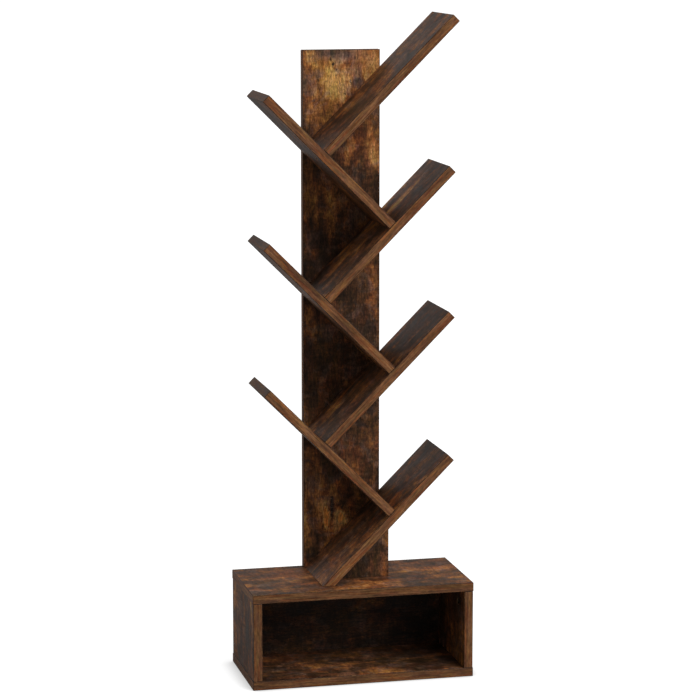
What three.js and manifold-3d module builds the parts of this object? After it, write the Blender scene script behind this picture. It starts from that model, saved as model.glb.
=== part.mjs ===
// Tree shaped bookshelf: seven sloping boards zigzag up a rear spine, above an open fronted base box.
// Millimetres, +Z up, front towards -Y, origin on the floor under the middle of the base.

import * as THREE from 'three';
import { mergeVertices } from 'three/addons/utils/BufferGeometryUtils.js';
import Module from 'manifold-3d';

const wasm = await Module();
wasm.setup();

// Laminated boards
const boardThickness = 20;
const arrisEase = 1;
const seatGap = 0.3;

// Base box, whose sides stand this far in from the ends of its top and bottom boards
const baseWidth = 500;
const baseDepth = 240;
const baseHeight = 215;
const sideInset = 1;

// Thin back panel, held in grooves in the four boards of the base
const panelThickness = 3;
const panelInset = 22;
const grooveDepth = 6;
const grooveClearance = 0.3;

// Spine, standing on the base top with its back in line with the base's back, and ending this far
// above the corner where an eighth branch would stand on the highest one
const spineWidth = 176;
const spineStandAbove = 45;

// Branches, whose upper faces meet at corners that swing from one side of the centre line to the other
const branchAngle = Math.PI / 4;
const branchCount = 7;
const branchDepth = 180;
const branchReach = 200;
const highestBranchReach = 207;
const zigzagHalfWidth = 80;
const footOffset = 85;

// Brace under the lowest branch
const braceSetBack = 60;
const braceTipHeight = 4;

// Furniture screw with a stepped shank and a hex socket
const screwLength = 50;
const screwRecess = 0.5;
const screwHeadRadius = 5;
const screwHeadHeight = 3;
const screwCollarRadius = 3.5;
const screwCollarLength = 12;
const screwCoreRadius = 2.5;
const screwTipLength = 4;
const screwSocketRadius = 2.3;
const screwSocketDepth = 2.4;
const screwClearance = 0.3;
const screwFacets = 10;

// Where the screws stand
const jointScrewShares = [0.25, 0.75];
const spineScrewSpread = 45;
const spineFootScrewSpread = 65;
const braceFootScrewShares = [0.45, 0.85];
const braceSlopeScrewShares = [0.4, 0.7];
const baseFixingShares = [0.2, 0.8];

// Cam fitting, a drum in the side board that pulls on a bolt in the base top
const camRadius = 7.5;
const camHeight = 13.5;
const camSetDown = 34;
const camRecess = 0.3;
const camClearance = 0.3;
const camCrossLength = 8;
const camCrossWidth = 1.6;
const camCrossDepth = 3;
const camFacets = 20;
const boltThreadRadius = 2.6;
const boltThreadLength = 11;
const boltShankRadius = 3.3;
const boltNeckRadius = 2;
const boltNeckLength = 6;
const boltHeadRadius = 3.5;
const boltHeadHeight = 3;
const boltClearance = 0.5;

// One overrun for every cut that leaves a face
const overrun = 1;

// Places that follow from the sizes above
const baseFront = -baseDepth / 2;
const baseBack = baseDepth / 2;
const baseTopUnderside = baseHeight - boardThickness;
const sideOuterFace = baseWidth / 2 - sideInset;
const sideFace = sideOuterFace - boardThickness;
const sideMiddle = sideOuterFace - boardThickness / 2;
const spineFront = baseBack - boardThickness;
const spineMiddle = baseBack - boardThickness / 2;
const branchFront = spineFront - branchDepth;
const braceFront = branchFront + braceSetBack;
const braceMiddle = braceFront + boardThickness / 2;
const baseBoards = ['base_top', 'base_bottom', 'base_side_left', 'base_side_right'];
const forwards = new THREE.Vector3(0, -1, 0);
const upwards = new THREE.Vector3(0, 0, 1);

// Finishes
const laminate = { color: 0x5b4435, roughness: 0.55, metalness: 0 };
const hardboard = { color: 0x3b2d23, roughness: 0.8, metalness: 0 };
const bronzedSteel = { color: 0x6a6157, roughness: 0.4, metalness: 0.85 };
const zincAlloy = { color: 0xb9bbbb, roughness: 0.45, metalness: 0.8 };

// A line in the front view is z = slope * x + rise.
function heightOn(line, x) {
  return line.slope * x + line.rise;
}

function meeting(first, second) {
  const x = (second.rise - first.rise) / (first.slope - second.slope);
  return new THREE.Vector2(x, heightOn(first, x));
}

function raised(line, distance) {
  return { slope: line.slope, rise: line.rise + distance * Math.hypot(1, line.slope) };
}

function levelAt(height) {
  return { slope: 0, rise: height };
}

// The upward normal of a line, as a direction in the model.
function normalOf(line) {
  return new THREE.Vector3(-line.slope, 0, 1).normalize();
}

// Branches are numbered from the base up. Even ones rise to the right, odd ones to the left.
function sideOf(index) {
  return index % 2 === 0 ? 1 : -1;
}

function branchName(index) {
  const side = index % 2 === 0 ? 'right' : 'left';
  return `${side}_branch_${Math.floor(index / 2) + 1}`;
}

function upperFace(index) {
  const steepness = Math.tan(branchAngle);
  const lowestRise = baseHeight + steepness * footOffset;
  return {
    slope: sideOf(index) * steepness,
    rise: lowestRise + index * 2 * steepness * zigzagHalfWidth,
  };
}

function lowerFace(index) {
  return raised(upperFace(index), -boardThickness);
}

// Solids
function solidFrom(geometry) {
  const bare = geometry.clone();
  bare.deleteAttribute('normal');
  bare.deleteAttribute('uv');
  const merged = mergeVertices(bare);
  const triangles = [];
  for (let start = 0; start < merged.index.count; start += 3) {
    const corners = [0, 1, 2].map((step) => merged.index.getX(start + step));
    if (new Set(corners).size === corners.length) triangles.push(...corners);
  }
  return new wasm.Manifold(new wasm.Mesh({
    numProp: 3,
    vertProperties: merged.attributes.position.array,
    triVerts: new Uint32Array(triangles),
  }));
}

function geometryFrom(solid) {
  const { vertProperties, triVerts } = solid.getMesh();
  const geometry = new THREE.BufferGeometry();
  geometry.setAttribute('position', new THREE.BufferAttribute(vertProperties, 3));
  geometry.setIndex(new THREE.BufferAttribute(triVerts, 1));
  geometry.computeVertexNormals();
  return geometry;
}

function cutAway(geometry, cutters) {
  let solid = solidFrom(geometry);
  for (const cutter of cutters) solid = solid.subtract(solidFrom(cutter));
  return geometryFrom(solid);
}

// A board drawn in the front view and run back from its front edge, with its front and back arrises eased.
function boardFrom(outline, front, depth) {
  const geometry = new THREE.ExtrudeGeometry(new THREE.Shape(outline), {
    depth: depth - 2 * arrisEase,
    bevelThickness: arrisEase,
    bevelSize: arrisEase,
    bevelOffset: -arrisEase,
    bevelSegments: 1,
  });
  geometry.rotateX(Math.PI / 2);
  geometry.translate(0, front + depth - arrisEase, 0);
  return geometry;
}

function rectangle(left, right, bottom, top) {
  return [
    new THREE.Vector2(left, bottom),
    new THREE.Vector2(right, bottom),
    new THREE.Vector2(right, top),
    new THREE.Vector2(left, top),
  ];
}

// A box between two corners.
function blockBetween(low, high) {
  const geometry = new THREE.BoxGeometry(high.x - low.x, high.y - low.y, high.z - low.z);
  const centre = low.clone().add(high).divideScalar(2);
  return geometry.translate(centre.x, centre.y, centre.z);
}

// A turned form whose section gives [radius, distance along +Z], from one end of the axis to the other.
function turned(section, facets) {
  const profile = section.map(([radius, along]) => new THREE.Vector2(radius, along));
  return new THREE.LatheGeometry(profile, facets).rotateX(Math.PI / 2);
}

function cylinder(radius, from, to, facets) {
  return turned([[0, from], [radius, from], [radius, to], [0, to]], facets);
}

// Screw and its stepped bore, both along +Z from the face that the head is let into
const screwHeadEnd = screwRecess + screwHeadHeight;
const screwCollarEnd = screwHeadEnd + screwCollarLength;

function screwGeometry() {
  const body = turned([
    [0, screwRecess],
    [screwHeadRadius, screwRecess],
    [screwHeadRadius, screwHeadEnd],
    [screwCollarRadius, screwHeadEnd],
    [screwCollarRadius, screwCollarEnd],
    [screwCoreRadius, screwCollarEnd],
    [screwCoreRadius, screwLength - screwTipLength],
    [0, screwLength],
  ], screwFacets);
  const socket = new THREE.CylinderGeometry(
    screwSocketRadius, screwSocketRadius, screwSocketDepth + overrun, 6,
  );
  socket.rotateX(Math.PI / 2);
  socket.translate(0, 0, screwRecess + (screwSocketDepth - overrun) / 2);
  return cutAway(body, [socket]);
}

function screwBore() {
  const headWall = screwHeadRadius + screwClearance;
  const collarWall = screwCollarRadius + screwClearance;
  const coreWall = screwCoreRadius + screwClearance;
  const ledge = screwHeadEnd + screwClearance;
  const step = screwCollarEnd + screwClearance;
  const end = screwLength + screwClearance;
  return turned([
    [0, -overrun],
    [headWall, -overrun],
    [headWall, ledge],
    [collarWall, ledge],
    [collarWall, step],
    [coreWall, step],
    [coreWall, end],
    [0, end],
  ], screwFacets);
}

// Cam drum, along +Z into the board from its face, with the bolt's neck leaving towards +Y
const boltDepth = boardThickness / 2;

function camGeometry() {
  const drum = cylinder(camRadius, camRecess, camRecess + camHeight, camFacets);
  const drumEnd = camRecess + camHeight + overrun;
  const chamber = boltHeadRadius + boltClearance;
  const slot = boltNeckRadius + boltClearance;
  const headChamber = blockBetween(
    new THREE.Vector3(-chamber, -chamber, boltDepth - chamber),
    new THREE.Vector3(chamber, chamber, drumEnd),
  );
  const neckSlot = blockBetween(
    new THREE.Vector3(-slot, 0, boltDepth - slot),
    new THREE.Vector3(slot, camRadius + overrun, drumEnd),
  );
  const cross = [0, Math.PI / 2].map((turn) => blockBetween(
    new THREE.Vector3(-camCrossLength / 2, -camCrossWidth / 2, camRecess - overrun),
    new THREE.Vector3(camCrossLength / 2, camCrossWidth / 2, camRecess + camCrossDepth),
  ).rotateZ(turn));
  return cutAway(drum, [headChamber, neckSlot, ...cross]);
}

function camBore() {
  const depth = camRecess + camHeight + camClearance;
  return cylinder(camRadius + camClearance, -overrun, depth, camFacets);
}

// Cam bolt, along +Z with its shoulder where the side board meets the base top
const boltHeadTop = boltHeadHeight / 2 - camSetDown;
const boltNeckTop = boltHeadTop + boltNeckLength;

function camBoltGeometry() {
  return geometryFrom(solidFrom(turned([
    [0, boltHeadTop - boltHeadHeight],
    [boltHeadRadius, boltHeadTop - boltHeadHeight],
    [boltHeadRadius, boltHeadTop],
    [boltNeckRadius, boltHeadTop],
    [boltNeckRadius, boltNeckTop],
    [boltShankRadius, boltNeckTop],
    [boltShankRadius, -seatGap],
    [boltThreadRadius, -seatGap],
    [boltThreadRadius, boltThreadLength],
    [0, boltThreadLength],
  ], screwFacets)));
}

function camBoltBore() {
  const shankWall = boltShankRadius + boltClearance;
  const threadWall = boltThreadRadius + screwClearance;
  const end = boltThreadLength + screwClearance;
  return turned([
    [0, -camSetDown],
    [shankWall, -camSetDown],
    [shankWall, 0],
    [threadWall, 0],
    [threadWall, end],
    [0, end],
  ], screwFacets);
}

// Fixings: what each is called, the boards that its bore runs through, and the place of its own +Z axis
function placeAlong(start, direction) {
  const turn = new THREE.Quaternion().setFromUnitVectors(upwards, direction);
  return new THREE.Matrix4().compose(start, turn, new THREE.Vector3(1, 1, 1));
}

function screw(name, boards, start, direction) {
  const place = placeAlong(start, direction);
  return { name, boards, place, shape: screwGeometry(), bore: screwBore(), finish: bronzedSteel };
}

// Two screws through each branch, into the end of the branch that stands on it.
function branchJointScrews(index) {
  const seat = upperFace(index);
  const innerCorner = meeting(seat, upperFace(index + 1));
  const outerCorner = meeting(seat, lowerFace(index + 1));
  const middle = innerCorner.add(outerCorner).divideScalar(2);
  const direction = normalOf(seat);
  return jointScrewShares.map((share, number) => {
    const start = new THREE.Vector3(middle.x, branchFront + share * branchDepth, middle.y);
    start.addScaledVector(direction, -boardThickness);
    const name = `screw_branch_joint_${index + 1}_${number === 0 ? 'front' : 'rear'}`;
    return screw(name, [branchName(index), branchName(index + 1)], start, direction);
  });
}

// Two screws through the spine's back into the middle of each branch's back edge.
function spineScrews(index) {
  const middle = raised(upperFace(index), -boardThickness / 2);
  return [-1, 1].map((side) => {
    const x = side * spineScrewSpread;
    const start = new THREE.Vector3(x, baseBack, heightOn(middle, x));
    const name = `screw_spine_${branchName(index)}_${side < 0 ? 'left' : 'right'}`;
    return screw(name, ['spine', branchName(index)], start, forwards);
  });
}

function spineFootScrews() {
  return [-1, 1].map((side) => {
    const start = new THREE.Vector3(side * spineFootScrewSpread, spineMiddle, baseTopUnderside);
    const name = `screw_spine_foot_${side < 0 ? 'left' : 'right'}`;
    return screw(name, ['base_top', 'spine'], start, upwards);
  });
}

// The brace's sloping edge lies just under the lowest branch, from its blunt tip to its upright edge.
const braceSlope = raised(lowerFace(0), -seatGap);
const braceTip = meeting(braceSlope, levelAt(baseHeight + braceTipHeight)).x;
const braceWidth = zigzagHalfWidth - braceTip;

function braceScrews() {
  const fromBelow = braceFootScrewShares.map((share, number) => {
    const start = new THREE.Vector3(braceTip + share * braceWidth, braceMiddle, baseTopUnderside);
    const name = `screw_brace_foot_${number === 0 ? 'left' : 'right'}`;
    return screw(name, ['base_top', 'foot_brace'], start, upwards);
  });
  const direction = normalOf(braceSlope).negate();
  const fromAbove = braceSlopeScrewShares.map((share, number) => {
    const x = braceTip + share * braceWidth;
    const start = new THREE.Vector3(x, braceMiddle, heightOn(braceSlope, x));
    start.addScaledVector(direction, -boardThickness - seatGap);
    const name = `screw_brace_slope_${number === 0 ? 'lower' : 'upper'}`;
    return screw(name, [branchName(0), 'foot_brace'], start, direction);
  });
  return [...fromBelow, ...fromAbove];
}

// At each corner of the base, a screw through the bottom and a cam with its bolt under the top.
function baseCornerFixings(side, number) {
  const sideName = side < 0 ? 'left' : 'right';
  const corner = `${sideName}_${number === 0 ? 'front' : 'rear'}`;
  const board = `base_side_${sideName}`;
  const y = baseFront + baseFixingShares[number] * baseDepth;
  const x = side * sideMiddle;
  const outwards = new THREE.Vector3(side, 0, 0);
  const camCentre = new THREE.Vector3(side * sideFace, y, baseTopUnderside - camSetDown);
  const camAxes = new THREE.Matrix4().makeBasis(
    upwards.clone().cross(outwards), upwards, outwards,
  ).setPosition(camCentre);
  const cam = {
    name: `cam_${corner}`,
    boards: [board],
    place: camAxes,
    shape: camGeometry(),
    bore: camBore(),
    finish: zincAlloy,
  };
  const bolt = {
    name: `cam_bolt_${corner}`,
    boards: [board, 'base_top'],
    place: placeAlong(new THREE.Vector3(x, y, baseTopUnderside), upwards),
    shape: camBoltGeometry(),
    bore: camBoltBore(),
    finish: bronzedSteel,
  };
  const foot = new THREE.Vector3(x, y, 0);
  return [cam, bolt, screw(`screw_base_${corner}`, ['base_bottom', board], foot, upwards)];
}

const branchIndices = Array.from({ length: branchCount }, (_, index) => index);
const cornerNumbers = baseFixingShares.map((_, number) => number);
const fixings = [
  ...[-1, 1].flatMap((side) => cornerNumbers.flatMap((number) => baseCornerFixings(side, number))),
  ...spineFootScrews(),
  ...braceScrews(),
  ...branchIndices.slice(1).flatMap((index) => branchJointScrews(index - 1)),
  ...branchIndices.flatMap((index) => spineScrews(index)),
];

// Named pieces
function piece(name, geometry, finish) {
  const mesh = new THREE.Mesh(geometry, new THREE.MeshStandardMaterial(finish));
  mesh.name = name;
  return mesh;
}

function boredBoard(name, geometry, otherCuts = []) {
  const bores = fixings
    .filter((fixing) => fixing.boards.includes(name))
    .map((fixing) => fixing.bore.clone().applyMatrix4(fixing.place));
  return piece(name, cutAway(geometry, [...bores, ...otherCuts]), laminate);
}

function fastener(fixing) {
  const mesh = piece(fixing.name, fixing.shape, fixing.finish);
  mesh.applyMatrix4(fixing.place);
  return mesh;
}

function baseBox() {
  const group = new THREE.Group();
  const halfWidth = baseWidth / 2;
  const outlines = {
    base_top: rectangle(-halfWidth, halfWidth, baseTopUnderside, baseHeight),
    base_bottom: rectangle(-halfWidth, halfWidth, 0, boardThickness),
    base_side_left: rectangle(-sideOuterFace, -sideFace, boardThickness, baseTopUnderside),
    base_side_right: rectangle(sideFace, sideOuterFace, boardThickness, baseTopUnderside),
  };
  const panelBack = baseBack - panelInset;
  const panelHigh = new THREE.Vector3(
    sideFace + grooveDepth - grooveClearance,
    panelBack,
    baseTopUnderside + grooveDepth - grooveClearance,
  );
  const panelLow = new THREE.Vector3(
    -panelHigh.x,
    panelBack - panelThickness,
    boardThickness - grooveDepth + grooveClearance,
  );
  const around = new THREE.Vector3(grooveClearance, grooveClearance, grooveClearance);
  const groove = blockBetween(panelLow.clone().sub(around), panelHigh.clone().add(around));
  for (const name of baseBoards) {
    const board = boardFrom(outlines[name], baseFront, baseDepth);
    group.add(boredBoard(name, board, [groove]));
  }
  group.add(piece('base_back_panel', blockBetween(panelLow, panelHigh), hardboard));
  return group;
}

function spine() {
  const nextCorner = meeting(upperFace(branchCount - 1), upperFace(branchCount));
  const top = nextCorner.y + spineStandAbove;
  const outline = rectangle(-spineWidth / 2, spineWidth / 2, baseHeight, top);
  return boredBoard('spine', boardFrom(outline, spineFront, boardThickness));
}

// A branch starts on the face it stands on and ends square, with its upper corner at the reach.
function branch(index) {
  const seat = index === 0 ? levelAt(baseHeight) : raised(upperFace(index - 1), seatGap);
  const upper = upperFace(index);
  const reach = index === branchCount - 1 ? highestBranchReach : branchReach;
  const endX = sideOf(index) * reach;
  const endCorner = new THREE.Vector2(endX, heightOn(upper, endX));
  const down = normalOf(upper).multiplyScalar(-boardThickness);
  const outline = [
    meeting(upper, seat),
    endCorner,
    new THREE.Vector2(endCorner.x + down.x, endCorner.y + down.z),
    meeting(lowerFace(index), seat),
  ];
  return boredBoard(branchName(index), boardFrom(outline, branchFront, branchDepth));
}

function footBrace() {
  const outline = [
    new THREE.Vector2(braceTip, baseHeight),
    new THREE.Vector2(zigzagHalfWidth, baseHeight),
    new THREE.Vector2(zigzagHalfWidth, heightOn(braceSlope, zigzagHalfWidth)),
    new THREE.Vector2(braceTip, baseHeight + braceTipHeight),
  ];
  return boredBoard('foot_brace', boardFrom(outline, braceFront, boardThickness));
}

function tree() {
  const group = new THREE.Group();
  group.add(spine(), footBrace(), ...branchIndices.map((index) => branch(index)));
  return group;
}

const bookshelf = new THREE.Group();
bookshelf.name = 'tree_bookshelf';
bookshelf.add(baseBox(), tree(), ...fixings.map((fixing) => fastener(fixing)));

export default bookshelf;
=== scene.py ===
# Looks of the tree shaped bookshelf: foil faced boards with edge bands, a hardboard back, metal fittings.
# Metres, +Z up, front towards -Y, as in the frame.

import math

import bmesh
import bpy
from mathutils import Matrix, Vector


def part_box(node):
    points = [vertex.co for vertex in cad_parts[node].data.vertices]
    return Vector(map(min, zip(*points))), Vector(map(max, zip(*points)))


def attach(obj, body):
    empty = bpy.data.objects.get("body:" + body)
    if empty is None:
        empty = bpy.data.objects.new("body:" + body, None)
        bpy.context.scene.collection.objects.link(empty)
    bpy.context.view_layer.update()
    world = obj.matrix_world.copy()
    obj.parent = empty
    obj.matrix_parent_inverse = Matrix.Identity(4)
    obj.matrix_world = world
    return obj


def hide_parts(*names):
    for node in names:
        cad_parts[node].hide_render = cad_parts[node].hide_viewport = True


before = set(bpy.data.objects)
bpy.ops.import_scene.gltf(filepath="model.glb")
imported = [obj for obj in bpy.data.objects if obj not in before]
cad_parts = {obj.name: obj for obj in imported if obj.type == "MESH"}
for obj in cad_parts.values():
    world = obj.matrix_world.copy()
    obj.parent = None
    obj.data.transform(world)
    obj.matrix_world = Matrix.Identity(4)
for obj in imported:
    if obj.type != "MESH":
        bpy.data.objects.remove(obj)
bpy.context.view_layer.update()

MM = 0.001
RIGHT = Vector((1, 0, 0))
BACK = Vector((0, 1, 0))
UP = Vector((0, 0, 1))
DIAGONAL_UP = (RIGHT + UP).normalized()
DIAGONAL_DOWN = (RIGHT - UP).normalized()
LEFT_UP = -DIAGONAL_DOWN
LEFT_DOWN = -DIAGONAL_UP

# Boards
ARRIS = 1.0 * MM
ARRIS_STEPS = 3
MERGE = 0.002 * MM
CREASE = math.radians(50)

# How light each finish is drawn: the wide faces' print, the bands along the boards and on their ends, the
# base's bands along and on its ends, and the back panel's print
FOIL_PRINT = 1.0
# Lifted with painted light: the bands along the spine, brace and branches stand brighter than the base's,
# as light falls from above
EDGE_PAINTED_LIGHT = 1.1
END_PRINT = 0.6
# Darkened with painted shade: the bands along the base, which stands low
BASE_EDGE_PAINTED_SHADE = 0.8
BASE_END_PRINT = 1.15
# Darkened a great deal with painted shade: the back panel's print, for the dark inside the compartment
PANEL_PAINTED_SHADE = 0.38

# How far along and across the print a board's other face lies from its best one
OTHER_FACE_STEP = Vector((0.37, 0.29))

# Back panel
PANEL_ARRIS = 0.3 * MM
PANEL_START = Vector((0.5, 0.28))
SQUARE_ON = 0.9

# Screws and their stepped bores
SCREW_LENGTH = 50 * MM
SCREW_HEAD_RADIUS = 5 * MM
SCREW_HEAD_HEIGHT = 3 * MM
SCREW_COLLAR_RADIUS = 3.5 * MM
SCREW_COLLAR_LENGTH = 12 * MM
SCREW_CORE_RADIUS = 2.5 * MM
SCREW_TIP_LENGTH = 4 * MM
SCREW_SOCKET_RADIUS = 2.3 * MM
SCREW_SOCKET_DEPTH = 2.4 * MM
SCREW_RECESS = 0.5 * MM
SCREW_CLEARANCE = 0.3 * MM
SCREW_EASE = 0.35 * MM
THREAD_ROOT_RADIUS = 1.9 * MM
THREAD_PITCH = 2.2 * MM
RIDGE_FOOT, RIDGE_RISE, RIDGE_FALL = 0.35, 0.55, 0.65
CAP_GAP = 0.03 * MM
ROUND_STEPS = 36

# Cam fittings
CAM_RADIUS = 7.5 * MM
CAM_HEIGHT = 13.5 * MM
CAM_RECESS = 0.3 * MM
CAM_RIM = 1.2 * MM
CAM_FACE_DEPTH = 0.5 * MM
CAM_CROSS_LENGTH = 8 * MM
CAM_CROSS_WIDTH = 1.6 * MM
CAM_CROSS_DEPTH = 3 * MM
CAM_SET_DOWN = 34 * MM
CAM_STEPS = 48
BOLT_DEPTH = 10 * MM - CAM_RECESS
BOLT_HEAD_RADIUS = 3.5 * MM
BOLT_HEAD_HEIGHT = 3 * MM
BOLT_NECK_RADIUS = 2 * MM
BOLT_NECK_LENGTH = 6 * MM
BOLT_SHANK_RADIUS = 3.3 * MM
BOLT_THREAD_RADIUS = 2.6 * MM
BOLT_THREAD_LENGTH = 11 * MM
BOLT_CLEARANCE = 0.5 * MM


# Camera and stage

CAMERA_PLACE = (-1.343788, -5.655429, 1.699833)
CAMERA_YAW = math.radians(13.328)
CAMERA_PITCH = math.radians(9.483)
CAMERA_LENS = 137.037
NEAREST, FURTHEST = 0.1, 200


def stand_camera():
    data = bpy.data.cameras.new("camera")
    data.lens = CAMERA_LENS
    data.clip_start = NEAREST
    data.clip_end = FURTHEST
    camera = bpy.data.objects.new("camera", data)
    camera.location = CAMERA_PLACE
    camera.rotation_euler = (math.pi / 2 - CAMERA_PITCH, 0, -CAMERA_YAW)
    bpy.context.scene.collection.objects.link(camera)
    bpy.context.scene.camera = camera


# The room: how bright the camera sees it, how much it lights the shelf and what the shelf mirrors of it
BACKDROP = 1.1
AMBIENT = 0.28
MIRRORED = 0.37

# The floor: its glow to the camera, what the shelf mirrors of it, and its shade close to the base
FLOOR_SIZE = 60
FLOOR_GREY = 0x8C8C8C
FLOOR_ROUGHNESS = 0.9
FLOOR_GLOW = 0.93
FLOOR_SHEEN = 0.15
CONTACT_REACH = 0.045
CONTACT_SHARE = 0.55
CONTACT_DEEPEST = 0.4
CONTACT_SAMPLES = 16


def light_room():
    scene = bpy.context.scene
    scene.view_settings.view_transform = "Standard"
    world = bpy.data.worlds.new("white_room")
    world.use_nodes = True
    nodes, links = world.node_tree.nodes, world.node_tree.links
    seen = nodes.new("ShaderNodeBackground")
    seen.inputs["Color"].default_value = (1, 1, 1, 1)
    seen.inputs["Strength"].default_value = BACKDROP
    lit = nodes["Background"]
    lit.inputs["Color"].default_value = (1, 1, 1, 1)
    path = nodes.new("ShaderNodeLightPath")
    brighter = nodes.new("ShaderNodeMath")
    brighter.operation = "MULTIPLY_ADD"
    links.new(path.outputs["Is Glossy Ray"], brighter.inputs[0])
    brighter.inputs[1].default_value = MIRRORED - AMBIENT
    brighter.inputs[2].default_value = AMBIENT
    links.new(brighter.outputs[0], lit.inputs["Strength"])
    choose = nodes.new("ShaderNodeMixShader")
    links.new(path.outputs["Is Camera Ray"], choose.inputs[0])
    links.new(lit.outputs[0], choose.inputs[1])
    links.new(seen.outputs[0], choose.inputs[2])
    links.new(choose.outputs[0], nodes["World Output"].inputs["Surface"])
    scene.world = world


# Each light: name, where it shines from, seen from the shelf, its strength and its width in degrees
LIGHTS = [
    ("key_light", Vector((0.75, -1.0, 1.1)), 2.8, 45),
    ("rim_light", Vector((-0.6, 1.0, 0.9)), 0.3, 80),
]


def hang_lights():
    for name, origin, strength, width in LIGHTS:
        data = bpy.data.lights.new(name, "SUN")
        data.energy = strength
        data.angle = math.radians(width)
        lamp = bpy.data.objects.new(name, data)
        lamp.rotation_euler = origin.to_track_quat("Z", "Y").to_euler()
        bpy.context.scene.collection.objects.link(lamp)


def lay_floor():
    """A floor that glows white to the camera, darker close to the base, and lights the shelf little."""
    recipe = Recipe("pale_floor")
    recipe.feed("Roughness", FLOOR_ROUGHNESS)
    recipe.feed("Base Color", paint(FLOOR_GREY))
    recipe.feed("Emission Color", (1, 1, 1, 1))
    rays = recipe.step("LightPath").outputs
    shade = recipe.step("AmbientOcclusion", {"samples": CONTACT_SAMPLES}, Distance=CONTACT_REACH).outputs
    glow = recipe.fade(shade["AO"], CONTACT_DEEPEST, 1.0, FLOOR_GLOW * CONTACT_SHARE, FLOOR_GLOW)
    seen = recipe.maths("MULTIPLY", rays["Is Camera Ray"], glow)
    mirrored = recipe.maths("MULTIPLY", rays["Is Glossy Ray"], FLOOR_SHEEN)
    recipe.feed("Emission Strength", recipe.maths("ADD", seen, mirrored))
    bm = bmesh.new()
    bmesh.ops.create_grid(bm, x_segments=1, y_segments=1, size=FLOOR_SIZE / 2)
    mesh = bpy.data.meshes.new("floor")
    bm.to_mesh(mesh)
    mesh.materials.append(recipe.material)
    floor = bpy.data.objects.new("floor", mesh)
    bpy.context.scene.collection.objects.link(floor)


# Materials

FOIL_SHEEN = 0.14
METALLIC = 0.9

# Each metal: its dark and light tones, and its least and greatest roughness
STEEL = (0x1F1914, 0x342B23, 0.4, 0.55)
ZINC = (0x2A2420, 0x40372F, 0.45, 0.6)


def paint(code):
    """The scene colour of a six digit screen colour."""
    shares = [(code >> shift & 255) / 255 for shift in (16, 8, 0)]
    linear = [s / 12.92 if s <= 0.04045 else ((s + 0.055) / 1.055) ** 2.4 for s in shares]
    return (*linear, 1)


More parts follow.
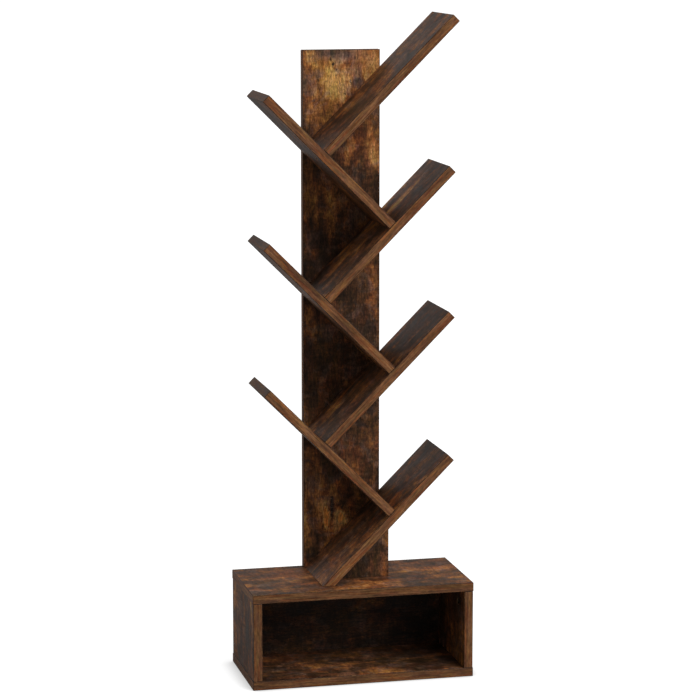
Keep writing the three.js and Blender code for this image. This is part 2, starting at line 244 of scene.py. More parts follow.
class Recipe:
    """One material, with a short call for each kind of step in its node tree."""

    def __init__(self, name):
        self.material = bpy.data.materials.new(name)
        self.material.use_nodes = True
        self.tree = self.material.node_tree
        self.shader = self.tree.nodes["Principled BSDF"]

    def join(self, socket, value):
        if isinstance(value, bpy.types.NodeSocket):
            self.tree.links.new(value, socket)
        else:
            socket.default_value = value

    def feed(self, name, value):
        self.join(self.shader.inputs[name], value)

    def step(self, kind, settings=None, **inputs):
        """A new node, with its settings and with a value or a link at each input named."""
        node = self.tree.nodes.new("ShaderNode" + kind)
        for name, value in (settings or {}).items():
            setattr(node, name, value)
        for name, value in inputs.items():
            self.join(node.inputs[name], value)
        return node

    def foil_place(self):
        return self.step("UVMap", {"uv_map": "foil"}).outputs["UV"]

    def object_place(self):
        return self.step("TexCoord").outputs["Object"]

    def elsewhere(self, place, along, across):
        """The same place further on, so that a figure there has nothing to do with those here."""
        return self.vectors("ADD", place, (along, across, 0))

    def maths(self, operation, *values):
        node = self.step("Math", {"operation": operation})
        for socket, value in zip(node.inputs, values):
            self.join(socket, value)
        return node.outputs[0]

    def vectors(self, operation, *values):
        node = self.step("VectorMath", {"operation": operation})
        for socket, value in zip(node.inputs, values):
            self.join(socket, value)
        return node.outputs["Value" if operation == "LENGTH" else "Vector"]

    def figure(self, place, length, width, detail, roughness=0.55, distortion=0):
        """Noise whose cells are this long along the grain and this wide across it."""
        scaled = self.vectors("MULTIPLY", place, (1 / length, 1 / width, 1 / width))
        noise = self.step(
            "TexNoise", Vector=scaled, Scale=1, Detail=detail, Roughness=roughness, Distortion=distortion
        )
        return noise.outputs["Fac"]

    def fade(self, value, start, end, low=0, high=1):
        """Runs smoothly from low to high while the value goes from start to end, and no further."""
        settings = {"interpolation_type": "SMOOTHSTEP"}
        node = self.step("MapRange", settings, Value=value)
        for name, number in (("From Min", start), ("From Max", end), ("To Min", low), ("To Max", high)):
            self.join(node.inputs[name], number)
        return node.outputs["Result"]

    def total(self, *weighted):
        """The sum of (weight, value) pairs."""
        running = 0.0
        for weight, value in weighted:
            node = self.step("Math", {"operation": "MULTIPLY_ADD"})
            for socket, number in zip(node.inputs, (value, weight, running)):
                self.join(socket, number)
            running = node.outputs[0]
        return running

    def ramp(self, value, *stops):
        """A colour picked by value from (place, screen colour) stops."""
        node = self.step("ValToRGB", Fac=value)
        line = node.color_ramp.elements
        for (place, code), element in zip(stops, (line[0], line[1])):
            element.position, element.color = place, paint(code)
        for place, code in stops[2:]:
            element = line.new(place)
            element.color = paint(code)
        return node.outputs["Color"]

    def shaded(self, colour, factor):
        """The colour times a factor from the pattern."""
        grey = self.step("CombineXYZ", X=factor, Y=factor, Z=factor).outputs[0]
        return self.mixed(1.0, colour, grey, "MULTIPLY")

    def stray(self, place, length, width):
        """A vector of three figures, each about nought."""
        scaled = self.vectors("MULTIPLY", place, (1 / length, 1 / width, 1 / width))
        figures = self.step("TexNoise", Vector=scaled, Scale=1, Detail=3, Roughness=0.6).outputs["Color"]
        return self.vectors("SUBTRACT", figures, (0.5, 0.5, 0.5))

    def stained(self, colour, place, length, width, strengths):
        """The colour with its red, green and blue each strayed a little from patch to patch."""
        factor = self.vectors("MULTIPLY_ADD", self.stray(place, length, width), strengths, (1, 1, 1))
        return self.mixed(1.0, colour, factor, "MULTIPLY")

    def mixed(self, share, first, second, blend="MIX"):
        """The first colour with this share of the second mixed in. The node's sockets go by number."""
        node = self.step("Mix", {"data_type": "RGBA", "blend_type": blend})
        for index, value in ((0, share), (6, first), (7, second)):
            self.join(node.inputs[index], value)
        return node.outputs[2]

    def relief(self, height, depth, strength=1):
        node = self.step("Bump", Height=height, Distance=depth, Strength=strength)
        self.feed("Normal", node.outputs["Normal"])


# The print repeats at this length and width. Places are along and across it, and the spine's front shows
# the strip of it from 0.142 to 0.318.
PRINT_REPEAT = (1.25, 0.46, 1)

# Each knot: its place, half its length and half its width
KNOTS = [
    (1.148, 0.206, 0.0036, 0.0018), (1.138, 0.212, 0.0046, 0.0022), (1.127, 0.219, 0.0040, 0.0020),
    (1.099, 0.251, 0.0056, 0.0014), (1.096, 0.226, 0.0046, 0.0015), (1.074, 0.237, 0.0044, 0.0019),
    (0.136, 0.208, 0.0300, 0.0042),
    (0.720, 0.060, 0.0080, 0.0028), (0.810, 0.390, 0.0110, 0.0030),
]

# Each grey patch: its place, its reach along and across, and how much greyer it is
SMOKE = [
    (1.160, 0.224, 0.016, 0.052, 0.7), (1.118, 0.264, 0.022, 0.016, 0.5),
    (1.098, 0.268, 0.012, 0.012, 0.6),
    (0.318, 0.036, 0.034, 0.024, 0.6), (0.372, 0.400, 0.020, 0.030, 0.3),
]

# Each light or dark patch: its place, its reach along and across, and how much lighter it is, or darker
# below nought
PATCHES = [
    # At the spine's top
    (1.096, 0.222, 0.036, 0.030, 0.36), (1.124, 0.304, 0.050, 0.018, 0.30),
    (1.150, 0.160, 0.040, 0.018, 0.20), (1.149, 0.228, 0.008, 0.020, 0.24),
    (1.099, 0.268, 0.012, 0.012, -0.16), (1.090, 0.300, 0.030, 0.014, 0.16),
    (1.100, 0.210, 0.100, 0.090, 0.10), (1.138, 0.211, 0.032, 0.008, 0.13),
    # On the middle of the spine
    (0.950, 0.250, 0.030, 0.012, 0.24), (0.940, 0.300, 0.050, 0.012, 0.16),
    (0.850, 0.195, 0.060, 0.050, 0.18), (0.790, 0.205, 0.050, 0.020, 0.14),
    (0.640, 0.290, 0.090, 0.030, 0.10),
    # At the spine's foot, round its long knot
    (0.114, 0.195, 0.040, 0.008, 0.46), (0.104, 0.228, 0.030, 0.015, 0.42),
    (0.146, 0.228, 0.010, 0.008, -0.24), (0.036, 0.155, 0.034, 0.016, -0.24),
    (0.100, 0.147, 0.160, 0.006, 0.16), (0.090, 0.166, 0.130, 0.008, -0.10),
    (0.100, 0.200, 0.120, 0.080, 0.16),
    # Beside the strip that the spine's front shows
    (0.480, 0.060, 0.080, 0.034, 0.20), (0.780, 0.400, 0.060, 0.030, 0.24),
    (0.108, 0.436, 0.022, 0.016, 0.24), (0.410, 0.080, 0.050, 0.006, 0.24),
    (0.990, 0.076, 0.060, 0.034, 0.10), (0.448, 0.416, 0.040, 0.044, 0.13),
    (0.318, 0.036, 0.036, 0.022, -0.12), (0.370, 0.354, 0.034, 0.030, 0.16),
    (0.300, 0.350, 0.016, 0.030, 0.14),
]

# Torn outlines: the length and width of their waves, and how far along and across these reach
KNOT_OUTLINE = (0.008, 0.004), (0.024, 0.012, 0)
PATCH_OUTLINE = (0.060, 0.030), (0.070, 0.040, 0)

# Where each part of a mark starts and is full, in shares of the mark's own size
PATCH_FADE = (1.5, 0.3)
KNOT_PULL = (9, 5)
KNOT_RIM = (3.2, 1.4)
KNOT_HEART = (1.4, 0.6)


def tear(recipe, place, wrapped, outline):
    """The wrapped place strayed to and fro, which tears the outline of any mark laid on it."""
    (length, width), reach = outline
    return recipe.vectors("MULTIPLY_ADD", recipe.stray(place, length, width), reach, wrapped)


def marked(recipe, torn, along, across, length, width):
    """How far a point lies from a mark's middle: as a vector, and in shares of the mark's size."""
    apart = recipe.vectors("SUBTRACT", torn, (along, across, 0))
    distance = recipe.vectors("LENGTH", recipe.vectors("MULTIPLY", apart, (1 / length, 1 / width, 0)))
    return apart, distance


def spread(recipe, torn, patches):
    """How strongly the patches of one kind lie over a point."""
    strength = 0.0
    for *mark, most in patches:
        distance = marked(recipe, torn, *mark)[1]
        strength = recipe.maths("ADD", strength, recipe.fade(distance, *PATCH_FADE, 0, most))
    return strength


def print_marks(recipe, place):
    """Leads the grain round each knot. Returns the led place, how far into a knot's rim and heart a
    point lies, and how much the patches lighten and grey it."""
    wrapped = recipe.vectors("WRAP", place, PRINT_REPEAT, (0, 0, -1))
    knotted = tear(recipe, place, wrapped, KNOT_OUTLINE)
    patched = tear(recipe, place, wrapped, PATCH_OUTLINE)
    rim, heart, shift = 0.0, 0.0, 0.0
    for knot in KNOTS:
        apart, distance = marked(recipe, knotted, *knot)
        # The pull dies away with the square of the distance
        square = recipe.maths("MAXIMUM", recipe.maths("MULTIPLY", distance, distance), 1.0)
        pull = recipe.maths("DIVIDE", recipe.fade(distance, *KNOT_PULL), square)
        side = recipe.step("SeparateXYZ", Vector=apart).outputs["Y"]
        shift = recipe.total((1.0, shift), (recipe.maths("MULTIPLY", pull, -1.0), side))
        rim = recipe.maths("MAXIMUM", rim, recipe.fade(distance, *KNOT_RIM))
        heart = recipe.maths("MAXIMUM", heart, recipe.fade(distance, *KNOT_HEART))
    parts = recipe.step("SeparateXYZ", Vector=place)
    led = recipe.maths("ADD", parts.outputs["Y"], shift)
    led_place = recipe.step("CombineXYZ", X=parts.outputs["X"], Y=led).outputs[0]
    return led_place, rim, heart, spread(recipe, patched, PATCHES), spread(recipe, patched, SMOKE)


def foil_colour(recipe, place, tone, light, smoke):
    """Brown by tone, strayed in places to rust, olive and ash, and to amber in the lightest patches."""
    rust = recipe.figure(recipe.elsewhere(place, 3, 5), 0.110, 0.045, 4, 0.6, 0.8)
    ash = recipe.figure(recipe.elsewhere(place, 7, 3), 0.042, 0.042, 5, 0.64, 0.8)
    colour = recipe.ramp(
        tone, (0.0, 0x291C12), (1.0, 0xBE9058), (0.2, 0x3F2A1B), (0.4, 0x603D26), (0.6, 0x84532D),
        (0.8, 0xA46E3C),
    )
    rusty = recipe.mixed(1.0, colour, paint(0xFFD2BA), "MULTIPLY")
    colour = recipe.mixed(recipe.fade(rust, 0.48, 0.66, 0, 0.5), colour, rusty)
    olive = recipe.mixed(1.0, colour, paint(0xF8FFD6), "MULTIPLY")
    colour = recipe.mixed(recipe.fade(rust, 0.50, 0.34, 0, 0.6), colour, olive)
    amber = recipe.mixed(1.0, colour, (1.45, 1.0, 0.66, 1), "MULTIPLY")
    colour = recipe.mixed(recipe.fade(light, 0.46, 0.58), colour, amber)
    ashen = recipe.mixed(tone, paint(0x352B25), paint(0x8C7164))
    clear = recipe.fade(light, 0.3, 0.5, 1, 0.1)
    ash_share = recipe.maths("MULTIPLY", recipe.fade(ash, 0.50, 0.62, 0, 0.45), clear)
    return recipe.mixed(recipe.maths("MAXIMUM", ash_share, smoke), colour, ashen)


def make_foil(name, strength):
    """Printed wood foil of the wide faces: aged brown planks with gold, rust and grey patches, made
    darker by a strength below one, which on the back panel paints the shade inside the compartment."""
    recipe = Recipe(name)
    place, rim, heart, light, smoke = print_marks(recipe, recipe.foil_place())
    plank = recipe.figure(place, 0.50, 0.20, 1)
    cloud = recipe.figure(place, 0.120, 0.055, 4, 0.58, 1.0)
    patch = recipe.figure(place, 0.045, 0.024, 5, 0.66, 1.0)
    chatter = recipe.figure(place, 0.013, 0.042, 4, 0.66, 0.8)
    stroke = recipe.figure(place, 0.015, 0.0034, 5, 0.68, 1.0)
    streak = recipe.figure(place, 0.12, 0.0065, 4, 0.6, 0.3)
    fleck = recipe.figure(place, 0.0080, 0.0038, 4, 0.72, 0.5)
    fibre = recipe.figure(place, 0.050, 0.0010, 2, 0.6)
    split = recipe.figure(recipe.elsewhere(place, 1, 9), 0.16, 0.0040, 2, 0.5, 0.3)

    broad = recipe.total((0.35, plank), (0.78, cloud), (0.22, streak), (1.0, light), (0.08, rim))
    worn = recipe.fade(broad, 0.66, 1.15, 0.66, 1)
    mottle = recipe.maths("SUBTRACT", recipe.total((0.85, patch), (0.45, chatter)), 0.65)
    tone = recipe.fade(recipe.maths("MULTIPLY_ADD", mottle, worn, broad), 0.38, 1.18)
    colour = foil_colour(recipe, place, tone, light, smoke)

    strokes = recipe.maths("MULTIPLY_ADD", recipe.fade(stroke, 0.34, 0.62, -0.42, 0.32), worn, 1.0)
    colour = recipe.shaded(colour, strokes)
    colour = recipe.shaded(colour, recipe.fade(chatter, 0.36, 0.64, 0.93, 1.07))
    colour = recipe.stained(colour, recipe.elsewhere(place, 2, 4), 0.030, 0.012, (0.5, 0.3, 0.8))
    colour = recipe.shaded(colour, recipe.fade(fleck, 0.34, 0.66, 0.62, 1.38))
    colour = recipe.shaded(colour, recipe.fade(fibre, 0.3, 0.62, 0.84, 1.08))
    colour = recipe.shaded(colour, recipe.fade(split, 0.66, 0.73, 1, 0.45))
    pith = recipe.mixed(recipe.fade(fleck, 0.48, 0.62), paint(0x1C1411), paint(0x77685A))
    colour = recipe.mixed(recipe.maths("MULTIPLY", heart, 0.9), colour, pith)
    recipe.feed("Base Color", recipe.shaded(colour, strength))
    recipe.feed("Roughness", recipe.fade(patch, 0.3, 0.7, 0.46, 0.58))
    recipe.feed("Specular IOR Level", FOIL_SHEEN)
    cracks = recipe.fade(split, 0.64, 0.72)
    height = recipe.total((0.6, fibre), (0.6, stroke), (-0.8, cracks), (-1.0, heart))
    recipe.relief(height, 0.12 * MM, 0.6)
    return recipe.material


def make_band(name, strength):
    """Printed edge band: lengthwise streaks with rust between them, made lighter or darker by this
    strength, which paints light on the bands along the upper boards and shade on those along the base.
    """
    recipe = Recipe(name)
    place = recipe.foil_place()
    sweep = recipe.figure(place, 0.13, 0.018, 4, 0.6, 0.5)
    streak = recipe.figure(place, 0.07, 0.0040, 4, 0.66, 0.2)
    fleck = recipe.figure(place, 0.0120, 0.0036, 4, 0.7, 0.4)
    rust = recipe.figure(recipe.elsewhere(place, 3, 5), 0.09, 0.006, 3, 0.55, 0.3)
    fibre = recipe.figure(place, 0.05, 0.0008, 2, 0.6)
    tone = recipe.fade(recipe.total((0.6, sweep), (0.8, streak)), 0.46, 0.96)
    colour = recipe.ramp(tone, (0.0, 0x4A3020), (1.0, 0x90663F), (0.5, 0x6E4A2F))
    rusty = recipe.mixed(1.0, colour, paint(0xFFD2B4), "MULTIPLY")
    colour = recipe.mixed(recipe.fade(rust, 0.48, 0.62, 0, 0.7), colour, rusty)
    colour = recipe.stained(colour, recipe.elsewhere(place, 2, 4), 0.040, 0.010, (0.4, 0.3, 1.0))
    colour = recipe.shaded(colour, recipe.fade(fleck, 0.34, 0.66, 0.74, 1.26))
    colour = recipe.shaded(colour, recipe.fade(fibre, 0.3, 0.62, 0.84, 1.06))
    recipe.feed("Base Color", recipe.shaded(colour, strength))
    recipe.feed("Roughness", recipe.fade(streak, 0.3, 0.7, 0.46, 0.56))
    recipe.feed("Specular IOR Level", FOIL_SHEEN)
    recipe.relief(fibre, 0.08 * MM, 0.5)
    return recipe.material


def make_band_body():
    """The band's own plastic, bare where the arris is trimmed round, and rubbed pale in places."""
    recipe = Recipe("band_body")
    place = recipe.object_place()
    shade = recipe.step("TexNoise", Vector=place, Scale=160, Detail=4, Roughness=0.6).outputs["Fac"]
    rub = recipe.step("TexNoise", Vector=place, Scale=34, Detail=5, Roughness=0.7).outputs["Fac"]
    colour = recipe.mixed(recipe.fade(shade, 0.35, 0.7), paint(0x2A1B12), paint(0x472E1F))
    colour = recipe.mixed(recipe.fade(rub, 0.55, 0.68, 0, 0.8), colour, paint(0x80603F))
    recipe.feed("Base Color", colour)
    recipe.feed("Roughness", recipe.fade(rub, 0.5, 0.7, 0.44, 0.6))
    recipe.feed("Specular IOR Level", FOIL_SHEEN)
    recipe.relief(shade, 0.05 * MM, 0.4)
    return recipe.material


def make_chipboard():
    """Raw board inside the bores."""
    recipe = Recipe("raw_chipboard")
    place = recipe.object_place()
    chips = recipe.step("TexVoronoi", Vector=place, Scale=700).outputs["Color"]
    dust = recipe.step("TexNoise", Vector=place, Scale=1500, Detail=3).outputs["Fac"]
    shade = recipe.maths("ADD", recipe.step("SeparateXYZ", Vector=chips).outputs["X"], dust)
    colour = recipe.mixed(recipe.fade(shade, 0.5, 1.4), paint(0x7C5E3E), paint(0xC9A878))
    recipe.feed("Base Color", colour)
    recipe.feed("Roughness", recipe.fade(dust, 0.3, 0.7, 0.8, 0.95))
    recipe.relief(shade, 0.3 * MM)
    return recipe.material


def make_hardboard():
    """Felted brown hardboard, on the panel's back."""
    recipe = Recipe("back_hardboard")
    place = recipe.object_place()
    felt = recipe.step("TexNoise", Vector=place, Scale=420, Detail=5, Roughness=0.7).outputs["Fac"]
    cloud = recipe.step("TexNoise", Vector=place, Scale=14, Detail=3).outputs["Fac"]
    colour = recipe.mixed(recipe.fade(felt, 0.3, 0.7), paint(0x3A281C), paint(0x664A36))
    colour = recipe.mixed(recipe.fade(cloud, 0.35, 0.65, 0, 0.6), colour, paint(0x2B1D15))
    recipe.feed("Base Color", colour)
    recipe.feed("Roughness", recipe.fade(felt, 0.3, 0.7, 0.62, 0.8))
    recipe.feed("Specular IOR Level", FOIL_SHEEN)
    recipe.relief(felt, 0.1 * MM, 0.6)
    return recipe.material


def make_metal(name, dark, light, smooth, rough):
    """Plated metal between two tones and two roughnesses."""
    recipe = Recipe(name)
    place = recipe.object_place()
    grain = recipe.step("TexNoise", Vector=place, Scale=900, Detail=4, Roughness=0.7).outputs["Fac"]
    bloom = recipe.step("TexNoise", Vector=place, Scale=160, Detail=3).outputs["Fac"]
    recipe.feed("Base Color", recipe.mixed(recipe.fade(bloom, 0.3, 0.7), paint(dark), paint(light)))
    recipe.feed("Metallic", METALLIC)
    recipe.feed("Roughness", recipe.fade(grain, 0.3, 0.7, smooth, rough))
    recipe.relief(grain, 0.02 * MM, 0.5)
    return recipe.material


# Shapes

def piece(name, bm, materials, stands_for):
    """An object at the origin made from a finished bmesh, riding on the shelf."""
    mesh = bpy.data.meshes.new(name)
    bm.to_mesh(mesh)
    bm.free()
    for material in materials:
        mesh.materials.append(material)
    made = bpy.data.objects.new(name, mesh)
    bpy.context.scene.collection.objects.link(made)
    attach(made, "root")
    if stands_for:
        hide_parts(*stands_for)


def turned(profile, steps):
    """A form spun about Z from points of (radius, distance along Z) that start and end on the axis."""
    bm = bmesh.new()
    corners = [bm.verts.new((radius, 0, along)) for radius, along in profile]
    edges = [bm.edges.new(pair) for pair in zip(corners, corners[1:])]
    bmesh.ops.spin(
        bm, geom=corners + edges, cent=(0, 0, 0), axis=(0, 0, 1), dvec=(0, 0, 0),
        angle=2 * math.pi, steps=steps, use_merge=True, use_duplicate=False,
    )
    bmesh.ops.remove_doubles(bm, verts=bm.verts, dist=MERGE)
    bmesh.ops.recalc_face_normals(bm, faces=bm.faces)
    return bm


def soften(bm):
    """Shades every face smooth, with a crease wherever two faces meet sharply."""
    for face in bm.faces:
        face.smooth = True
    for edge in bm.edges:
        if len(edge.link_faces) == 2 and edge.calc_face_angle() > CREASE:
            edge.smooth = False


# Screws

def placing(node):
    """Where a screw's head face is and which way the screw points, from its CAD node."""
    corners = {tuple(round(c, 6) for c in vertex.co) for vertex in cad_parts[node].data.vertices}
    points = [Vector(corner) for corner in corners]
    middle = sum(points, Vector()) / len(points)
    tip = max(points, key=lambda point: (point - middle).length)
    direction = (tip - middle).normalized()
    head = tip - direction * (SCREW_LENGTH - SCREW_RECESS)
    return head, direction


def placed(bm, start, direction):
    """The shape moved from the origin and +Z to this start and direction."""
    turn = UP.rotation_difference(direction).to_matrix().to_4x4()
    bm.transform(Matrix.Translation(start) @ turn)
    return bm


def screw_shape():
    """A furniture screw along +Z from its head face, with a hex socket and a coarse thread."""
    head_end = SCREW_HEAD_HEIGHT
    collar_end = head_end + SCREW_COLLAR_LENGTH
    tip = SCREW_LENGTH - SCREW_RECESS
    profile = [
        (0, SCREW_SOCKET_DEPTH),
        (SCREW_SOCKET_RADIUS, SCREW_SOCKET_DEPTH),
        (SCREW_SOCKET_RADIUS, 0),
        (SCREW_HEAD_RADIUS - SCREW_EASE, 0),
        (SCREW_HEAD_RADIUS, SCREW_EASE),
        (SCREW_HEAD_RADIUS, head_end - SCREW_EASE),
        (SCREW_COLLAR_RADIUS, head_end),
        (SCREW_COLLAR_RADIUS, collar_end - SCREW_EASE),
        (THREAD_ROOT_RADIUS, collar_end),
    ]
    profile += thread(collar_end, tip - SCREW_TIP_LENGTH, SCREW_CORE_RADIUS, THREAD_ROOT_RADIUS)
    bm = turned(profile + [(0, tip)], ROUND_STEPS)
    for vertex in bm.verts:
        across = Vector((vertex.co.x, vertex.co.y))
        if abs(across.length - SCREW_SOCKET_RADIUS) < MERGE and vertex.co.z < head_end:
            sector = math.pi / 3
            turn = math.atan2(across.y, across.x) % sector - sector / 2
            factor = math.cos(sector / 2) / math.cos(turn)
            vertex.co.x *= factor
            vertex.co.y *= factor
    soften(bm)
    return bm


def thread(start, end, crest, root):
    """The outline of a run of thread ridges, each with its steeper side towards the head."""
    count = int((end - start) / THREAD_PITCH)
    ridges = []
    for number in range(count):
        foot = start + number * THREAD_PITCH
        ridges += [
            (root, foot + THREAD_PITCH * RIDGE_FOOT),
            (crest, foot + THREAD_PITCH * RIDGE_RISE),
            (crest, foot + THREAD_PITCH * RIDGE_FALL),
            (root, foot + THREAD_PITCH),
        ]
    return ridges


def screw_bore():
    """The stepped bore that a screw sits in, with a broken edge at its mouth, from the board's face."""
    head = SCREW_HEAD_RADIUS + SCREW_CLEARANCE
    collar = SCREW_COLLAR_RADIUS + SCREW_CLEARANCE
    core = SCREW_CORE_RADIUS + SCREW_CLEARANCE
    ledge = SCREW_HEAD_HEIGHT + SCREW_CLEARANCE
    step = ledge + SCREW_COLLAR_LENGTH
    end = SCREW_LENGTH - SCREW_RECESS + SCREW_CLEARANCE
    over = 2 * SCREW_RECESS
    bm = turned([
        (0, -SCREW_RECESS - over),
        (head + over + SCREW_EASE, -SCREW_RECESS - over),
        (head, SCREW_EASE - SCREW_RECESS),
        (head, ledge),
        (collar, ledge),
        (collar, step),
        (core, step),
        (core, end),
        (0, end),
    ], ROUND_STEPS)
    soften(bm)
    return bm


SCREWS = sorted(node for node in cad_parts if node.startswith("screw_"))
BOLTS = sorted(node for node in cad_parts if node.startswith("cam_bolt_"))
CAMS = sorted(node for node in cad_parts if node.startswith("cam_") and node not in BOLTS)


def drive_screws(steel):
    for node in SCREWS:
        bm = placed(screw_shape(), *placing(node))
        piece(node + "_turned", bm, [steel], [node])


# Cam fittings

def cam_placing(node):
    """Where a cam's face is and which way the cam points into its side board."""
    low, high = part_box(node)
    middle = (low + high) / 2
    outwards = RIGHT if middle.x > 0 else -RIGHT
    middle.x = low.x if middle.x > 0 else high.x
    return middle, outwards


def slab(low, high):
    """A block between two corners."""
    bm = bmesh.new()
    bmesh.ops.create_cube(bm, size=1)
    size = high - low
    bm.transform(Matrix.Translation((low + high) / 2) @ Matrix.Diagonal((*size, 1)))
    return bm


def cam_shape():
    """A cam along +Z from its face, with a rim, a crossed slot and the chamber for the bolt's head."""
    bm = turned([
        (0, CAM_FACE_DEPTH),
        (CAM_RADIUS - CAM_RIM, CAM_FACE_DEPTH),
        (CAM_RADIUS - CAM_RIM + CAM_FACE_DEPTH, 0),
        (CAM_RADIUS - SCREW_EASE, 0),
        (CAM_RADIUS, SCREW_EASE),
        (CAM_RADIUS, CAM_HEIGHT - SCREW_EASE),
        (CAM_RADIUS - SCREW_EASE, CAM_HEIGHT),
        (0, CAM_HEIGHT),
    ], CAM_STEPS)
    soften(bm)
    half, chamber = CAM_CROSS_WIDTH / 2, BOLT_HEAD_RADIUS + BOLT_CLEARANCE
    reach, neck = CAM_CROSS_LENGTH / 2, BOLT_NECK_RADIUS + BOLT_CLEARANCE
    over = CAM_HEIGHT + CAM_RIM
    for low, high in (
        (Vector((-reach, -half, -CAM_RIM)), Vector((reach, half, CAM_CROSS_DEPTH))),
        (Vector((-half, -reach, -CAM_RIM)), Vector((half, reach, CAM_CROSS_DEPTH))),
        (Vector((-chamber, -chamber, BOLT_DEPTH - chamber)), Vector((chamber, chamber, over))),
        (Vector((-neck, 0, BOLT_DEPTH - neck)), Vector((neck, CAM_RADIUS + CAM_RIM, over))),
    ):
        bm = cut_away(bm, slab(low, high))
    return bm


def cam_bore():
    """The blind bore that a cam sits in, with a broken edge at its mouth."""
    wall, over = CAM_RADIUS + SCREW_CLEARANCE, 2 * SCREW_RECESS
    bm = turned([
        (0, -CAM_RECESS - over),
        (wall + over + SCREW_EASE, -CAM_RECESS - over),
        (wall, SCREW_EASE - CAM_RECESS),
        (wall, CAM_HEIGHT + SCREW_CLEARANCE),
        (0, CAM_HEIGHT + SCREW_CLEARANCE),
    ], CAM_STEPS)
    soften(bm)
    return bm


def bolt_shape():
    """A cam bolt along +Z from under its head, with a waisted neck, a collar and a thread."""
    neck_top = BOLT_HEAD_HEIGHT + BOLT_NECK_LENGTH
    shoulder = CAM_SET_DOWN + BOLT_HEAD_HEIGHT / 2 - SCREW_CLEARANCE
    profile = [
        (0, 0),
        (BOLT_HEAD_RADIUS - SCREW_EASE, 0),
        (BOLT_HEAD_RADIUS, SCREW_EASE),
        (BOLT_HEAD_RADIUS, BOLT_HEAD_HEIGHT - SCREW_EASE),
        (BOLT_NECK_RADIUS, BOLT_HEAD_HEIGHT),
        (BOLT_NECK_RADIUS, neck_top),
        (BOLT_SHANK_RADIUS - SCREW_EASE, neck_top),
        (BOLT_SHANK_RADIUS, neck_top + SCREW_EASE),
        (BOLT_SHANK_RADIUS, shoulder),
        (THREAD_ROOT_RADIUS, shoulder),
    ]
    end = shoulder + SCREW_CLEARANCE + BOLT_THREAD_LENGTH
    profile += thread(shoulder, end, BOLT_THREAD_RADIUS, THREAD_ROOT_RADIUS)
    bm = turned(profile + [(0, end)], ROUND_STEPS)
    soften(bm)
    return bm


def bolt_bore():
    """The bore of a cam bolt, along +Z from the middle of its cam."""
    shank, core = BOLT_SHANK_RADIUS + BOLT_CLEARANCE, BOLT_THREAD_RADIUS + SCREW_CLEARANCE
    end = CAM_SET_DOWN + BOLT_THREAD_LENGTH + SCREW_CLEARANCE
    bm = turned([
        (0, 0),
        (shank, 0),
        (shank, CAM_SET_DOWN),
        (core, CAM_SET_DOWN),
        (core, end),
        (0, end),
    ], ROUND_STEPS)
    soften(bm)
    return bm


def bolt_placing(node):
    """Where a cam bolt's head starts, and that it points up."""
    low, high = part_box(node)
    foot = (low + high) / 2
    foot.z = low.z
    return foot, UP


def set_cams(steel, zinc):
    cast = cam_shape()
    for node in CAMS:
        face, outwards = cam_placing(node)
        turn = Matrix((UP.cross(outwards), UP, outwards)).transposed().to_4x4()
        bm = cast.copy()
        bm.transform(Matrix.Translation(face) @ turn)
        piece(node + "_cast", bm, [zinc], [node])
    cast.free()
    for node in BOLTS:
        piece(node + "_turned", placed(bolt_shape(), *bolt_placing(node)), [steel], [node])


# Boards

def outline_of(node, facings):
    """A board's corners in the front view, where each side meets the next, from the ways they look."""
    points = [vertex.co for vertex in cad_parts[node].data.vertices]
    sides = [(facing, max(point.dot(facing) for point in points)) for facing in facings]
    corners = []
    for (first, first_reach), (second, second_reach) in zip(sides, sides[1:] + sides[:1]):
        turn = first.x * second.z - first.z * second.x
        x = (first_reach * second.z - second_reach * first.z) / turn
        z = (second_reach * first.x - first_reach * second.x) / turn
        corners.append((x, z))
    return corners


def panel_groove():
    """The room that the back panel takes in the boards round it."""
    low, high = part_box("base_back_panel")
    around = Vector((1, 1, 1)) * SCREW_CLEARANCE
    return slab(low - around, high + around)


def cutters():
    """Each group of bores that keep clear of each other: the node that one is for, and its shape."""
    screws = [(node, placed(screw_bore(), *placing(node))) for node in SCREWS]
    cams = [(node, placed(cam_bore(), *cam_placing(node))) for node in CAMS]
    bolts = []
    for node in BOLTS:
        foot, direction = bolt_placing(node)
        start = foot + direction * BOLT_HEAD_HEIGHT / 2
        bolts.append((node, placed(bolt_bore(), start, direction)))
    return [screws + [("base_back_panel", panel_groove())], cams, bolts]


def joined_bores(group, low, high):
    """One bmesh of every bore in a group that comes near a board's box."""
    joined = bmesh.new()
    for node, bore in group:
        node_low, node_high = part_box(node)
        if all(node_low[i] < high[i] and node_high[i] > low[i] for i in range(3)):
            mesh = bpy.data.meshes.new("bore")
            bore.to_mesh(mesh)
            joined.from_mesh(mesh)
            bpy.data.meshes.remove(mesh)
    for face in joined.faces:
        face.material_index = RAW
    return joined


def cut_away(bm, cutter):
    """The shape less the cutter, with every face of both keeping its own finish. Uses both up."""
    made = []
    for name, shape in (("blank", bm), ("cutter", cutter)):
        mesh = bpy.data.meshes.new(name)
        shape.to_mesh(mesh)
        shape.free()
        for material in BOARD_FINISHES:
            mesh.materials.append(material)
        thing = bpy.data.objects.new(name, mesh)
        bpy.context.scene.collection.objects.link(thing)
        made.append(thing)
    blank, tool = made
    cut = blank.modifiers.new("cut", "BOOLEAN")
    cut.operation = "DIFFERENCE"
    cut.solver = "EXACT"
    cut.object = tool
    graph = bpy.context.evaluated_depsgraph_get()
    graph.update()
    result = bmesh.new()
    result.from_mesh(blank.evaluated_get(graph).data)
    for thing in made:
        mesh = thing.data
        bpy.data.objects.remove(thing)
        bpy.data.meshes.remove(mesh)
    return result


# Where each finish stands in a board's list of them
FOIL, BAND, END_BAND, BARE, RAW = range(5)


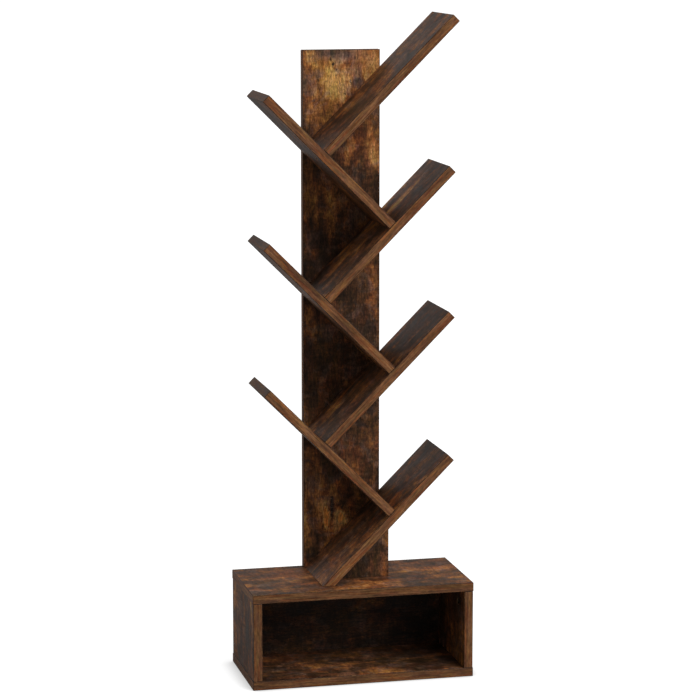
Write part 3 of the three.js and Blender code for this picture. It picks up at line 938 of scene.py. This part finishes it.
def lay_foil(bm, along, outwards, start):
    """Rolls each face out on the print, and gives it foil, a band or an end band by the way it looks."""
    layer = bm.loops.layers.uv.new("foil")
    across = along.cross(outwards)
    sides = [
        (outwards, FOIL, along, across),
        (across, BAND, along, outwards),
        (along, END_BAND, across, outwards),
    ]
    for face in bm.faces:
        facing, finish, first, second = max(sides, key=lambda side: abs(face.normal.dot(side[0])))
        if face.material_index not in (BARE, RAW):
            face.material_index = finish
        shift = start + (OTHER_FACE_STEP if face.normal.dot(facing) < 0 else Vector((0, 0)))
        for loop in face.loops:
            place = loop.vert.co
            loop[layer].uv = (place.dot(first) + shift.x, place.dot(second) + shift.y)


def make_board(node, facings, along, outwards, start):
    """A board run back from its outline, with rounded arrises, its bores and its foil."""
    low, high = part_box(node)
    bm = bmesh.new()
    corners = [bm.verts.new((x, low.y, z)) for x, z in outline_of(node, facings)]
    front = bm.faces.new(corners)
    run = bmesh.ops.extrude_face_region(bm, geom=[front])
    back = [item for item in run["geom"] if isinstance(item, bmesh.types.BMVert)]
    bmesh.ops.translate(bm, verts=back, vec=BACK * (high.y - low.y))
    bmesh.ops.recalc_face_normals(bm, faces=bm.faces)
    rounded = bmesh.ops.bevel(
        bm, geom=bm.edges[:], affect="EDGES", offset=ARRIS, offset_type="OFFSET",
        segments=ARRIS_STEPS, profile=0.5, material=-1, clamp_overlap=True,
    )
    for face in rounded["faces"]:
        face.material_index = BARE
        face.smooth = True
    for group in BORES:
        bores = joined_bores(group, low, high)
        if bores.faces:
            bm = cut_away(bm, bores)
    lay_foil(bm, along, outwards, start)
    finishes = BASE_FINISHES if node.startswith("base_") else BOARD_FINISHES
    piece(node + "_board", bm, finishes, [node])


def stick_caps(along, outwards, start):
    """A foil cap over each screw in the lowest branch's upper face, in line with the branch's print."""
    mouth, wall = SCREW_HEAD_RADIUS + SCREW_EASE, SCREW_HEAD_RADIUS + SCREW_CLEARANCE - CAP_GAP
    for node in SCREWS:
        if node.startswith("screw_brace_slope_"):
            bm = turned([
                (0, CAP_GAP - SCREW_RECESS),
                (mouth + SCREW_CLEARANCE - 2 * CAP_GAP, CAP_GAP - SCREW_RECESS),
                (wall, SCREW_EASE - SCREW_RECESS),
                (wall, -CAP_GAP),
                (0, -CAP_GAP),
            ], ROUND_STEPS)
            placed(bm, *placing(node))
            lay_foil(bm, along, outwards, start)
            piece(node + "_cap", bm, BOARD_FINISHES, [])


def make_back_panel(painted_shade_foil, hardboard):
    """The thin panel in the base's grooves, printed on the side towards the compartment with a foil
    darkened by painted shade.
    """
    bm = slab(*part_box("base_back_panel"))
    bmesh.ops.bevel(
        bm, geom=bm.edges[:], affect="EDGES", offset=PANEL_ARRIS, offset_type="OFFSET",
        segments=1, profile=0.5, material=-1, clamp_overlap=True,
    )
    lay_foil(bm, RIGHT, -BACK, PANEL_START)
    printed, raw = range(2)
    for face in bm.faces:
        face.material_index = printed if face.normal.dot(-BACK) > SQUARE_ON else raw
    piece("base_back_panel_sheet", bm, [painted_shade_foil, hardboard], ["base_back_panel"])


# The ways that a board's sides look in the front view
BOX = [-UP, RIGHT, UP, -RIGHT]
RIGHT_BRANCH = [DIAGONAL_DOWN, DIAGONAL_UP, LEFT_UP, LEFT_DOWN]
LOWEST_BRANCH = [DIAGONAL_DOWN, DIAGONAL_UP, LEFT_UP, -UP]
LEFT_BRANCH = [LEFT_DOWN, DIAGONAL_DOWN, DIAGONAL_UP, LEFT_UP]
BRACE = [-UP, RIGHT, LEFT_UP, -RIGHT]

# Each board: its sides, the way of its grain, the way its best face looks, and its start on the print
BOARDS = {
    "base_bottom": (BOX, RIGHT, UP, Vector((0.4, 0.3))),
    "base_side_left": (BOX, UP, -RIGHT, Vector((5.214, 2.284))),
    "base_side_right": (BOX, UP, RIGHT, Vector((2.339, 0.864))),
    "base_top": (BOX, RIGHT, UP, Vector((3.309, 1.944))),
    "spine": (BOX, UP, -BACK, Vector((-0.215, 0.23))),
    "foot_brace": (BRACE, UP, -BACK, Vector((6.899, 1.366))),
    "right_branch_1": (LOWEST_BRANCH, DIAGONAL_UP, LEFT_UP, Vector((4.557, 0.954))),
    "right_branch_2": (RIGHT_BRANCH, DIAGONAL_UP, LEFT_UP, Vector((4.976, 3.629))),
    "right_branch_3": (RIGHT_BRANCH, DIAGONAL_UP, LEFT_UP, Vector((4.036, 2.174))),
    "right_branch_4": (RIGHT_BRANCH, DIAGONAL_UP, LEFT_UP, Vector((0.716, 2.684))),
    "left_branch_1": (LEFT_BRANCH, LEFT_UP, DIAGONAL_UP, Vector((5.83, 4.61))),
    "left_branch_2": (LEFT_BRANCH, LEFT_UP, DIAGONAL_UP, Vector((4.535, 3.209))),
    "left_branch_3": (LEFT_BRANCH, LEFT_UP, DIAGONAL_UP, Vector((0.044, 1.999))),
}

stand_camera()
light_room()
hang_lights()
lay_floor()

BOARD_FINISHES = [
    make_foil("wood_foil", FOIL_PRINT),
    # Lifted with painted light, as the upper boards stand in more light than the base
    make_band("edge_band", EDGE_PAINTED_LIGHT),
    make_band("end_band", END_PRINT),
    make_band_body(),
    make_chipboard(),
]
# The bands along the base are darkened with painted shade, as the base stands low
BASE_FINISHES = BOARD_FINISHES[:]
BASE_FINISHES[BAND] = make_band("base_edge_band_painted_shade", BASE_EDGE_PAINTED_SHADE)
BASE_FINISHES[END_BAND] = make_band("base_end_band", BASE_END_PRINT)
BORES = cutters()
for node, shape in BOARDS.items():
    make_board(node, *shape)

steel = make_metal("bronzed_steel", *STEEL)
zinc = make_metal("bronzed_zinc", *ZINC)
drive_screws(steel)
set_cams(steel, zinc)
stick_caps(*BOARDS["right_branch_1"][1:])
# The panel's foil is the wide faces' print darkened, which paints the shade inside the compartment
make_back_panel(make_foil("painted_shade_foil", PANEL_PAINTED_SHADE), make_hardboard())
